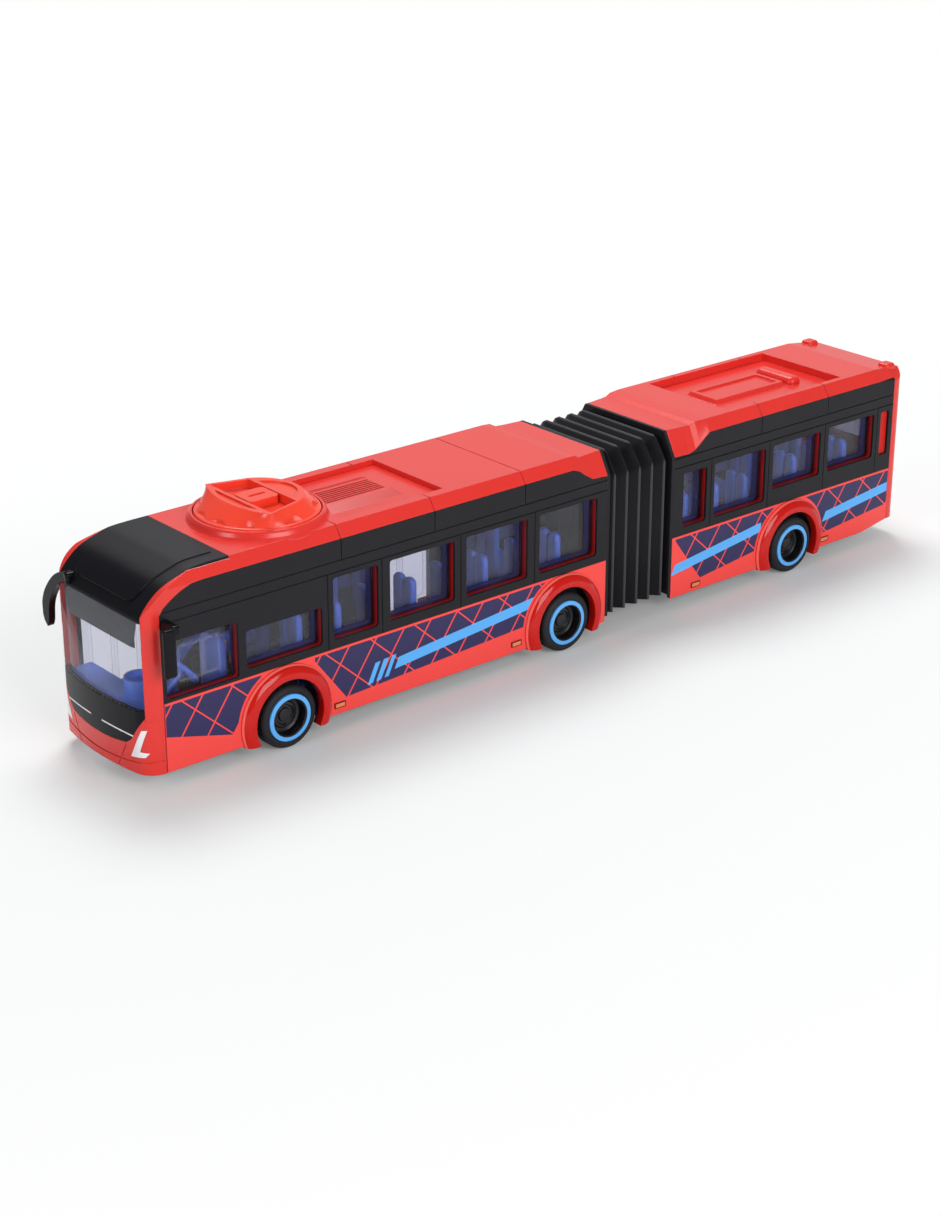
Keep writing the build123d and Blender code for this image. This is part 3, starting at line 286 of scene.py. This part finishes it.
class Finish:
    """A material built from nodes on the bus's own millimetres."""

    def __init__(self, name):
        self.material = bpy.data.materials.new(name)
        self.material.use_nodes = True
        self.tree = self.material.node_tree
        self.shader = self.tree.nodes["Principled BSDF"]
        point = self.node("ShaderNodeTexCoord", {}, {}, "Object")
        self.point = self.node("ShaderNodeVectorMath", {"operation": "SCALE"}, {0: point, "Scale": 1 / MM})
        self.x = self.node("ShaderNodeSeparateXYZ", {}, [self.point], "X")
        parts = self.x.socket.node
        self.y = Wire(self, parts.outputs["Y"])
        self.z = Wire(self, parts.outputs["Z"])

    def feed(self, socket, value):
        if isinstance(value, Wire):
            self.tree.links.new(value.socket, socket)
        else:
            socket.default_value = value

    def node(self, kind, settings, sockets, out=0):
        node = self.tree.nodes.new(kind)
        for key, value in settings.items():
            setattr(node, key, value)
        pairs = sockets.items() if isinstance(sockets, dict) else enumerate(sockets)
        for key, value in pairs:
            self.feed(node.inputs[key], value)
        return Wire(self, node.outputs[out])

    def set(self, **values):
        for key, value in values.items():
            self.feed(self.shader.inputs[key.replace("_", " ")], value)
        return self

    def noise(self, per_mm, detail, stretch=None):
        point = self.point
        if stretch:
            point = self.node("ShaderNodeVectorMath", {"operation": "MULTIPLY"}, [point, stretch])
        return self.node("ShaderNodeTexNoise", {}, {"Vector": point, "Scale": per_mm, "Detail": detail})

    def mix(self, share, low, high):
        return self.node("ShaderNodeMix", {"data_type": "RGBA"}, {0: share, 6: low, 7: high}, 2)

    def fade(self, value, start, end, least=0.0):
        """Runs from least at start to 1 at end."""
        sockets = {"Value": value, "From Min": start, "From Max": end, "To Min": least}
        return self.node("ShaderNodeMapRange", {}, sockets)

    def from_axle(self, axle_x):
        """Distance from an axle's middle line."""
        along = self.x - axle_x
        up = self.z - WHEEL_R
        return (along * along + up * up) ** 0.5

    def show(self, shader):
        self.feed(self.tree.nodes["Material Output"].inputs["Surface"], shader)
        return self

    def see_through(self, tint, mirror, cover):
        """Lets light straight through and mirrors by the angle; where cover is 1 the plain finish stays."""
        clear = self.node("ShaderNodeBsdfTransparent", {}, [tint])
        angle = self.node("ShaderNodeLayerWeight", {}, {}, "Facing") ** 5.0 * 0.7 + mirror
        shine = self.node("ShaderNodeBsdfAnisotropic", {}, {"Color": MIRROR_TINT, "Roughness": 0.06})
        glass = self.node("ShaderNodeMixShader", {}, {0: angle, 1: clear, 2: shine})
        plain = Wire(self, self.shader.outputs[0])
        return self.show(self.node("ShaderNodeMixShader", {}, {0: cover, 1: glass, 2: plain}))

    def soft_edges(self, height, depth, radius):
        rounded = self.node("ShaderNodeBevel", {"samples": 6}, {"Radius": radius * MM})
        sockets = {"Strength": 1.0, "Distance": depth * MM, "Height": height, "Normal": rounded}
        return self.set(Normal=self.node("ShaderNodeBump", {}, sockets))


def moulded(name, low, high, rough, grain, radius, sheen=0.5):
    """Moulded plastic: clouded colour, faint flow marks, fine grain and rounded edges."""
    spread = 0.05
    finish = Finish(name)
    cloud = finish.noise(0.035, 3.0)
    flow = finish.noise(0.25, 4.0, (0.3, 1.0, 1.0))
    fine = finish.noise(3.5, 2.0)
    finish.colour = finish.mix(cloud, low, high)
    finish.set(Base_Color=finish.colour, Roughness=flow * spread + (rough - spread / 2))
    finish.soft_edges(fine + flow * 0.6, grain, radius)
    return finish.set(Specular_IOR_Level=sheen)


def body_red():
    """Glossy red; painted shade darkens the roof hatch's flanks and its louvre grooves."""
    finish = moulded("body_red", RED_DEEP, RED, rough=0.25, grain=0.0012, radius=0.4, sheen=0.42)
    wide = abs(finish.y)
    hatch = finish.x.within(*HATCH_X) * (wide < HATCH_Y) * (finish.z > HATCH_FOOT_Z)
    # Painted shade on the hatch flanks
    flank = hatch * (wide > CREST_Y) * (finish.z < CREST_Z)
    # Painted shade in the louvre grooves
    groove = hatch * (wide < LOUVRE_Y) * (finish.z < LOUVRE_Z)
    colour = finish.mix(flank, finish.colour, FLANK_SHADE_RED)
    return finish.set(Base_Color=finish.mix(groove, colour, LOUVRE_SHADE_RED))


def dial_red():
    """Orange red dial; its shaft, down in the cabin, is painted dark blue as shade."""
    shades = (ORANGE_RED_DEEP, ORANGE_RED)
    finish = moulded("dial_red", *shades, rough=0.22, grain=0.0012, radius=0.5, sheen=0.36)
    # Painted shade: the shaft down in the cabin is dark blue
    shaft = finish.z < SHAFT_TOP
    return finish.set(Base_Color=finish.mix(shaft, finish.colour, LINING_BLUE))


def livery():
    """Red skirts with glossy fenders, latticed navy fields, sky blue stripes and slanted bars. The fender
    lips and rims carry painted highlights, the inner faces carry painted shade, and the lighter print red
    of the outer faces is partly painted light.
    """
    finish = moulded("skirt_livery", RED_DEEP, RED, rough=0.30, grain=0.0015, radius=0.4, sheen=0.32)
    x, z = finish.x, finish.z
    wide = abs(finish.y)
    outer = wide > HALF_W - 0.2
    under_waist = z < WAIST - 1.0
    apart = [finish.from_axle(axle_x) for axle_x in AXLES.values()]
    off_fenders = all_of([gap > FENDER_R + 1.2 for gap in apart])
    on_flat = all_of([gap > FENDER_R for gap in apart])
    # Painted highlights: pale red lines along the fender lips and the fenders' outer rims
    lips = any_of([gap < LIP_R + 0.8 for gap in apart])
    rims = any_of([gap.within(FENDER_R - 0.5, FENDER_R + 0.4) for gap in apart])

    fields = []
    for start, end, knee_x, knee_z, ahead, behind in FIELDS:
        past = x - knee_x
        low = past.either(0.0) * ahead + (past * -1.0).either(0.0) * behind + knee_z
        fields.append(x.within(start, end) * (z > low))
    lattice = any_of([(x + z * slant) % pitch < LATTICE_LINE for slant, pitch in LATTICE])
    navy = any_of(fields) * under_waist * (1.0 - lattice)

    stripes = []
    for start, end, z_start, z_end, barred in STRIPES:
        slope = (z_end - z_start) / (end - start)
        above = z - ((x - start) * slope + z_start)
        past = x + above * STRIPE_SLANT - end
        stripes.append((abs(above) < STRIPE_HALF) * (x > start) * (past < 0.0))
        if barred:
            bars = past.within(*BAR_RUN) * (past % BAR_PITCH > BAR_GAP)
            stripes.append(bars * (abs(above) < BAR_HALF))

    shown = off_fenders * outer
    fender = (wide > HALF_W + 0.05).either(1.0 - on_flat)
    # Painted shade: the inner faces are nearly black; the outer faces take the lighter print red, which is
    # partly painted light
    colour = finish.mix(outer, CABIN_SHADE, PRINT_RED_WITH_PAINTED_LIGHT)
    colour = finish.mix(fender * (wide > HALF_W - 0.6), colour, GLOSS_RED)
    # Painted highlight on the fender lips and rims
    colour = finish.mix(lips.either(rims) * (wide > HALF_W + 0.3), colour, EDGE_HIGHLIGHT_RED)
    colour = finish.mix(navy * shown, colour, NAVY)
    colour = finish.mix(any_of(stripes) * shown * under_waist, colour, SKY)
    return finish.set(Base_Color=colour, Roughness=0.32 - fender * 0.21)


def band_black():
    """Satin black side bands; the window rims are red and painted shade darkens them inwards, and the
    wall's inner face is left black as painted shade.
    """
    finish = moulded("band_black", COAL, COAL_PALE, rough=0.42, grain=0.012, radius=0.45, sheen=0.2)
    depth = HALF_W - abs(finish.y)
    # Painted shade: the inner face of the wall stays black
    inner_face = abs(depth - WALL) < 0.08
    rim = (depth > RIM_DEPTH) * (1.0 - inner_face)
    # Painted shade: the rim red fades to near black inwards
    red = finish.mix(finish.fade(depth, *RIM_FADE), RIM_RED, RIM_SHADE)
    return finish.set(Base_Color=finish.mix(rim, finish.colour, red))


def gloss_black(name="gloss_black"):
    return moulded(name, INK, COAL, rough=0.16, grain=0.003, radius=0.4, sheen=0.13)


def forehead_black():
    """Glossy brow whose top, behind the windscreen, is satin."""
    finish = gloss_black("forehead_black")
    top = finish.fade(finish.x, FRONT_X - 11.0, FRONT_X - 18.0)
    flow = finish.noise(0.25, 4.0)
    colour = finish.mix(top, finish.colour, COAL_PALE)
    return finish.set(Base_Color=colour, Roughness=top * 0.30 + 0.13 + flow * 0.05)


def grille_black():
    """Glossy front panel with one fine pale trim line across it."""
    finish = gloss_black("grille_black")
    bow = TRIM_Z - finish.y * finish.y * TRIM_BOW
    front_face = finish.x > FRONT_X - 4.0
    line = (abs(finish.z - bow) < TRIM_HALF) * abs(finish.y).within(*TRIM_Y) * front_face
    return finish.set(Base_Color=finish.mix(line, finish.colour, PALE))


def matt_black():
    return moulded("matt_black", COAL, COAL_PALE, rough=0.62, grain=0.03, radius=0.3, sheen=0.25)


def cabin_floor():
    """Black floor with black wheel wells; only what lies in the cabin is blue."""
    finish = moulded("cabin_floor", COAL, COAL_PALE, rough=0.62, grain=0.03, radius=0.3)
    wide = abs(finish.y)
    inside = (finish.z > FLOOR_TOP - 0.1) * (wide < CABIN_Y)
    for axle_x in AXLES.values():
        inside = inside * (finish.from_axle(axle_x) > WELL_R + 0.6).either(wide < WELL_Y + 1.0)
    return finish.set(Base_Color=finish.mix(inside, finish.colour, SEAT_BLUE_DEEP))


def pleat_rubber():
    """Black bellows with a painted highlight, a paler grey, along the ridges."""
    finish = moulded("pleat_rubber", INK, COAL, rough=0.40, grain=0.012, radius=0.2, sheen=0.2)
    ridge_y = BELLOWS_HALF[0][0] - 0.4
    ridge_z = BELLOWS_HALF[-1][1] - 0.5
    # Painted highlight: the ridges of the pleats are paler
    ridge = (abs(finish.y) > ridge_y).either(finish.z > ridge_z)
    return finish.set(Base_Color=finish.mix(ridge * 0.8, finish.colour, RIDGE_HIGHLIGHT_GREY))


def tyre_rubber():
    return moulded("tyre_rubber", COAL, TYRE_GREY, rough=0.60, grain=0.03, radius=0.2, sheen=0.25)


def hub(axle):
    """Black dished hub inside a sky blue ring."""
    finish = moulded("hub_" + axle, INK, COAL, rough=0.26, grain=0.006, radius=0.25, sheen=0.55)
    ring = (finish.from_axle(AXLES[axle]) > RING_R) * (abs(finish.y) > WHEEL_FACE_Y - 0.8)
    return finish.set(Base_Color=finish.mix(ring, finish.colour, SKY))


def cabin_blue():
    """Blue cabin plastic that painted shade darkens towards the floor."""
    finish = moulded("cabin_blue", SEAT_BLUE_DEEP, SEAT_BLUE, rough=0.34, grain=0.008, radius=0.6)
    # Painted shade: the blue darkens towards the floor
    shade = finish.fade(finish.z, *CABIN_DUSK_Z)
    return finish.set(Base_Color=finish.mix(shade * 0.85, finish.colour, CABIN_SHADE))


def lining_blue():
    return moulded("lining_blue", LINING_BLUE, LINING_BLUE_PALE, rough=0.40, grain=0.02, radius=0.4)


def clear_pane():
    """Clear side panes, with the moulded outlines of the driver's sliding window."""
    finish = moulded("clear_pane", PALE, PALE, rough=0.10, grain=0.004, radius=0.2)
    haze = finish.noise(0.05, 2.0) * 0.03
    for middle_x, middle_z, half_x, half_z in SLIDERS:
        from_edge = (abs(finish.x - middle_x) - half_x).either(abs(finish.z - middle_z) - half_z)
        haze = haze + (abs(from_edge) < 0.22) * (finish.y > 0.0) * 0.10
    return finish.see_through(PANE_TINT, 0.028, haze)


def tinted_pane():
    finish = moulded("tinted_pane", COAL, COAL_PALE, rough=0.10, grain=0.004, radius=0.2)
    return finish.see_through(DARK_TINT, 0.02, finish.noise(0.05, 2.0) * 0.04)


def door_leaf():
    """Clear door leaves with faintly hazed frames round their two panes."""
    finish = moulded("door_leaf", PALE, PALE, rough=0.12, grain=0.004, radius=0.2)
    panes = []
    for start, end in DOORS:
        hinge = end - 1.5
        middle = (start + hinge) / 2
        panes.append(finish.x.within(start + 2.0, middle - 0.8))
        panes.append(finish.x.within(middle + 0.8, hinge - 2.2))
    pane = any_of(panes) * finish.z.within(*DOOR_PANE_Z)
    return finish.see_through(DOOR_TINT, 0.02, 0.09 - pane * 0.08)


def clear_screen():
    """Clear windscreen with a dark blank sign strip behind its upper edge."""
    finish = moulded("clear_screen", SIGN, SIGN, rough=0.20, grain=0.004, radius=0.2)
    up = finish.z - SCREEN_FOOT_Z
    bow = FRONT_X - finish.y * finish.y * SCREEN_BOW
    rake = FRONT_X - up * up * SCREEN_RAKE
    behind = finish.x < bow.both(rake) - WALL / 2
    strip = finish.z.within(*SIGN_Z) * finish.y.within(*SIGN_Y) * behind
    return finish.see_through(SCREEN_TINT, 0.014, strip)


def lamp(name, colours):
    return moulded(name, *colours, rough=0.22, grain=0.01, radius=0.25)


def marker_amber():
    """Small amber side lamps with a dark red border."""
    finish = lamp("lamp_amber", LAMP_AMBER)
    half_x, half_z = MARKER_HALF
    lenses = [(abs(finish.x - x) < half_x) * (abs(finish.z - z) < half_z) for x, z in MARKERS]
    return finish.set(Base_Color=finish.mix(any_of(lenses), BORDER_RED, finish.colour))


def steel_pin():
    finish = moulded("steel_pin", *STEEL, rough=0.3, grain=0.01, radius=0.1)
    return finish.set(Metallic=1.0)


def new_piece(name, mesh, body, finish, stands_for):
    data = bpy.data.meshes.new(name)
    mesh.to_mesh(data)
    mesh.free()
    piece = bpy.data.objects.new(name, data)
    scene.collection.objects.link(piece)
    data.materials.append(finish.material)
    data.shade_smooth()
    if body:
        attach(piece, body)
    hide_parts(stands_for)
    return piece


def round_edges(mesh, edges, radius, segments):
    bmesh.ops.bevel(
        mesh, geom=edges, offset=radius * MM, segments=segments, profile=0.5, affect="EDGES", material=-1
    )


def rounded_block(size, centre, top_radius, edge_radius):
    """A block in millimetres whose top corners, seen from the front, and whose edges are rounded."""
    mesh = bmesh.new()
    bmesh.ops.create_cube(mesh, size=1.0)
    bmesh.ops.scale(mesh, vec=Vector(size) * MM, verts=mesh.verts)
    crest = [edge for edge in mesh.edges if all(vert.co.z > 0 for vert in edge.verts)]
    crest = [edge for edge in crest if abs(edge.verts[0].co.y - edge.verts[1].co.y) < 1e-6]
    round_edges(mesh, crest, top_radius, 6)
    sharp = [edge for edge in mesh.edges if edge.calc_face_angle() > 0.7]
    round_edges(mesh, sharp, edge_radius, 3)
    bmesh.ops.translate(mesh, vec=Vector(centre) * MM, verts=mesh.verts)
    return mesh


def seat_blocks(x, side, floor_z, height):
    """Blocks of one double seat: size, centre, radius of the top corners, radius of the edges."""
    y = side * SEAT_Y
    back = (3.0, SEAT_W - SEAT_GAP, height - 2.0)
    cushion = (9.2, SEAT_W - SEAT_GAP, 3.4)
    blocks = []
    for shift in (-SEAT_W / 2, SEAT_W / 2):
        blocks.append((back, (x - 1.0, y + shift, floor_z + height / 2 + 1.0), 2.6, 1.1))
        blocks.append((cushion, (x + 4.2, y + shift, floor_z + SEAT_FOOT + 1.5), 1.4, 1.0))
    # A seat over the middle axle has no foot, and a raised seat has a leg behind it
    if abs(x + 4.0 - AXLES["middle"]) > 7.0:
        foot = (6.6, 11.4, SEAT_FOOT)
        blocks.append((foot, (x + 3.6, y, floor_z + SEAT_FOOT / 2), 1.0, 0.6))
    if floor_z > FLOOR_TOP:
        leg_top = floor_z + 3.0
        leg = (2.2, 8.0, leg_top - FLOOR_TOP)
        blocks.append((leg, (x - 1.5, y, (leg_top + FLOOR_TOP) / 2), 0.6, 0.4))
    return blocks


def make_seats(name, body, rows, finish, stands_for):
    """Double seats: two round-topped backs and two cushions each, on a shared foot."""
    seats = bmesh.new()
    for row in rows:
        for size, centre, top_radius, edge_radius in seat_blocks(*row):
            block = rounded_block(size, centre, top_radius, edge_radius)
            data = bpy.data.meshes.new("seat_block")
            block.to_mesh(data)
            block.free()
            seats.from_mesh(data)
            bpy.data.meshes.remove(data)
    return new_piece(name, seats, body, finish, stands_for)


def make_bellows(finish):
    """Soft pleats between the two end frames, open underneath."""
    mesh = bmesh.new()
    ring = []
    for y, z in BELLOWS_HALF + [(-y, z) for y, z in reversed(BELLOWS_HALF)]:
        drop = FOLD_DROP if z > HEM_Z else 0.0
        ring.append(mesh.verts.new((BELLOWS_START * MM, y * VALLEY_WIDTH * MM, (z - drop) * MM)))
    edges = [mesh.edges.new(pair) for pair in zip(ring, ring[1:])]
    pitch = (BELLOWS_END - BELLOWS_START) / PLEATS
    slope_share = (1 - RIDGE_SHARE) / 2
    # Each pleat: its share of the pitch, its change of width, its change of height
    steps = [
        (slope_share, 1 / VALLEY_WIDTH, FOLD_DROP),
        (RIDGE_SHARE, 1.0, 0.0),
        (slope_share, VALLEY_WIDTH, -FOLD_DROP),
    ]
    for share, widen, lift in steps * PLEATS:
        made = bmesh.ops.extrude_edge_only(mesh, edges=edges)["geom"]
        ring = [item for item in made if isinstance(item, bmesh.types.BMVert)]
        edges = [item for item in made if isinstance(item, bmesh.types.BMEdge)]
        bmesh.ops.translate(mesh, vec=(pitch * share * MM, 0, 0), verts=ring)
        bmesh.ops.scale(mesh, vec=(1, widen, 1), verts=ring)
        above_hem = [vert for vert in ring if vert.co.z > HEM_Z * MM]
        bmesh.ops.translate(mesh, vec=(0, 0, lift * MM), verts=above_hem)
    bmesh.ops.recalc_face_normals(mesh, faces=mesh.faces)
    piece = new_piece("bellows_pleats", mesh, None, finish, "bellows")
    wall = piece.modifiers.new("wall", "SOLIDIFY")
    wall.thickness = 0.7 * MM
    wall.offset = -1.0
    soft = piece.modifiers.new("soft", "BEVEL")
    soft.width = 0.25 * MM
    soft.segments = 3
    soft.limit_method = "ANGLE"
    soft.angle_limit = math.radians(25)
    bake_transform(piece)
    return piece


def make_tyre(axle, side, finish):
    """Tyre turned about its axle, with two ring grooves and cut cross grooves in the tread."""
    sign = 1 if side == "left" else -1
    centre = Vector((AXLES[axle] * MM, 0, WHEEL_R * MM))
    mesh = bmesh.new()
    line = [mesh.verts.new(centre + Vector((0, y * sign * MM, radius * MM))) for radius, y in TYRE]
    edges = [mesh.edges.new(pair) for pair in zip(line, line[1:])]
    bmesh.ops.spin(
        mesh, geom=line + edges, cent=centre, axis=(0, 1, 0),
        angle=math.tau, steps=TYRE_COLUMNS, use_merge=True,
    )
    bmesh.ops.recalc_face_normals(mesh, faces=mesh.faces)
    grooves = []
    for face in mesh.faces:
        middle = face.calc_center_median() - centre
        across = math.hypot(middle.x, middle.z) / MM
        column = int(math.atan2(middle.x, middle.z) / math.tau * TYRE_COLUMNS)
        if across > WHEEL_R - 0.1 and column % TREAD_EVERY == 1:
            grooves.append(face)
    bmesh.ops.inset_individual(mesh, faces=grooves, thickness=0.09 * MM, depth=-0.3 * MM)
    name = axle + "_tyre_" + side
    body = "front_wheel_" + side if axle == "front" else axle + "_wheels"
    return new_piece(name + "_tread", mesh, body, finish, name)


def paint(finish, *names):
    for name in names:
        materials = nodes[name].data.materials
        materials.clear()
        materials.append(finish.material)


def dress():
    paint(body_red(), "front_roof", "rear_roof", "front_fascia", "a_pillars", "rear_panel")
    paint(dial_red(), "steering_dial")
    paint(livery(), "front_skirt_left", "front_skirt_right", "rear_skirt_left", "rear_skirt_right")
    paint(band_black(), "front_side_left", "front_side_right", "rear_side_left", "rear_side_right")
    paint(forehead_black(), "forehead")
    paint(grille_black(), "grille_panel")
    paint(gloss_black(), "mirror_left", "mirror_right")
    paint(cabin_floor(), "front_chassis", "rear_chassis")
    matt = matt_black()
    paint(matt, "front_tongue", "rear_tongue", "front_end_frame", "rear_end_frame")
    paint(matt, "tie_rod", "knuckle_left", "knuckle_right")
    paint(lining_blue(), "front_lining", "rear_lining")
    paint(clear_pane(), "front_glazing", "rear_glazing")
    paint(tinted_pane(), "rear_window")
    paint(door_leaf(), "front_door", "centre_door", "rear_door")
    paint(clear_screen(), "windscreen")
    paint(lamp("lamp_white", LAMP_WHITE), "headlamps")
    paint(marker_amber(), "front_markers", "rear_markers")
    paint(lamp("lamp_red", LAMP_RED), "tail_lamps")
    paint(steel_pin(), "middle_axle", "rear_axle")
    tyre = tyre_rubber()
    for axle in AXLES:
        paint(hub(axle), axle + "_rim_left", axle + "_rim_right")
        for side in ("left", "right"):
            make_tyre(axle, side, tyre)
    blue = cabin_blue()
    paint(blue, "driver_cab")
    make_seats("front_seat_rows", "front_car", FRONT_SEATS, blue, "front_seats")
    make_seats("rear_seat_rows", "rear_car", REAR_SEATS, blue, "rear_seats")
    make_bellows(pleat_rubber())


def lay_floor():
    """Plain paper: near the bus it takes the shadow, farther off the camera sees it as plain white."""
    mesh = bmesh.new()
    bmesh.ops.create_grid(mesh, x_segments=1, y_segments=1, size=5.0)
    data = bpy.data.meshes.new("floor")
    mesh.to_mesh(data)
    mesh.free()
    floor = bpy.data.objects.new("floor", data)
    scene.collection.objects.link(floor)
    paper = Finish("floor_paper")
    far = (paper.x * paper.x * PAPER_STRETCH + paper.y * paper.y) ** 0.5
    white = paper.fade(far, *PAPER_FADE, least=PAPER_NEAR)
    seen = paper.node("ShaderNodeLightPath", {}, {}, "Is Camera Ray")
    diffuse = paper.node("ShaderNodeBsdfDiffuse", {}, [PAPER])
    glow = paper.node("ShaderNodeEmission", {}, {"Strength": 1.0})
    paper.show(paper.node("ShaderNodeMixShader", {}, [white * seen, diffuse, glow]))
    data.materials.append(paper.material)


def light_studio():
    """White surroundings for the camera and the glass, a low fill light and four soft boxes."""
    world = bpy.data.worlds.new("studio")
    scene.world = world
    world.use_nodes = True
    tree = world.node_tree
    sky = tree.nodes["Background"]
    sky.inputs["Color"].default_value = (1, 1, 1, 1)
    path = tree.nodes.new("ShaderNodeLightPath")
    seen = tree.nodes.new("ShaderNodeMath")
    seen.operation = "MAXIMUM"
    tree.links.new(path.outputs["Is Camera Ray"], seen.inputs[0])
    tree.links.new(path.outputs["Is Transmission Ray"], seen.inputs[1])
    level = tree.nodes.new("ShaderNodeMapRange")
    level.inputs["To Min"].default_value = FILL_LIGHT
    level.inputs["To Max"].default_value = 1.0
    tree.links.new(seen.outputs[0], level.inputs["Value"])
    tree.links.new(level.outputs["Result"], sky.inputs["Strength"])
    for index, (place, aim, size, power) in enumerate(SOFT_BOXES):
        light = bpy.data.lights.new("soft_box_%d" % index, "AREA")
        light.size = size
        light.energy = power
        holder = bpy.data.objects.new(light.name, light)
        holder.location = place
        holder.rotation_euler = (Vector(aim) - Vector(place)).to_track_quat("-Z", "Y").to_euler()
        scene.collection.objects.link(holder)


def place_camera():
    level = math.cos(CAMERA_PITCH)
    look = Vector((-level * math.cos(CAMERA_YAW), -level * math.sin(CAMERA_YAW), -math.sin(CAMERA_PITCH)))
    data = bpy.data.cameras.new("camera")
    data.sensor_fit = "VERTICAL"
    data.sensor_height = CAMERA_SENSOR
    data.lens = CAMERA_LENS
    data.clip_start = 0.05
    holder = bpy.data.objects.new("camera", data)
    holder.location = CAMERA_PLACE
    holder.rotation_euler = look.to_track_quat("-Z", "Y").to_euler()
    scene.collection.objects.link(holder)
    scene.camera = holder


dress()
lay_floor()
light_studio()
place_camera()
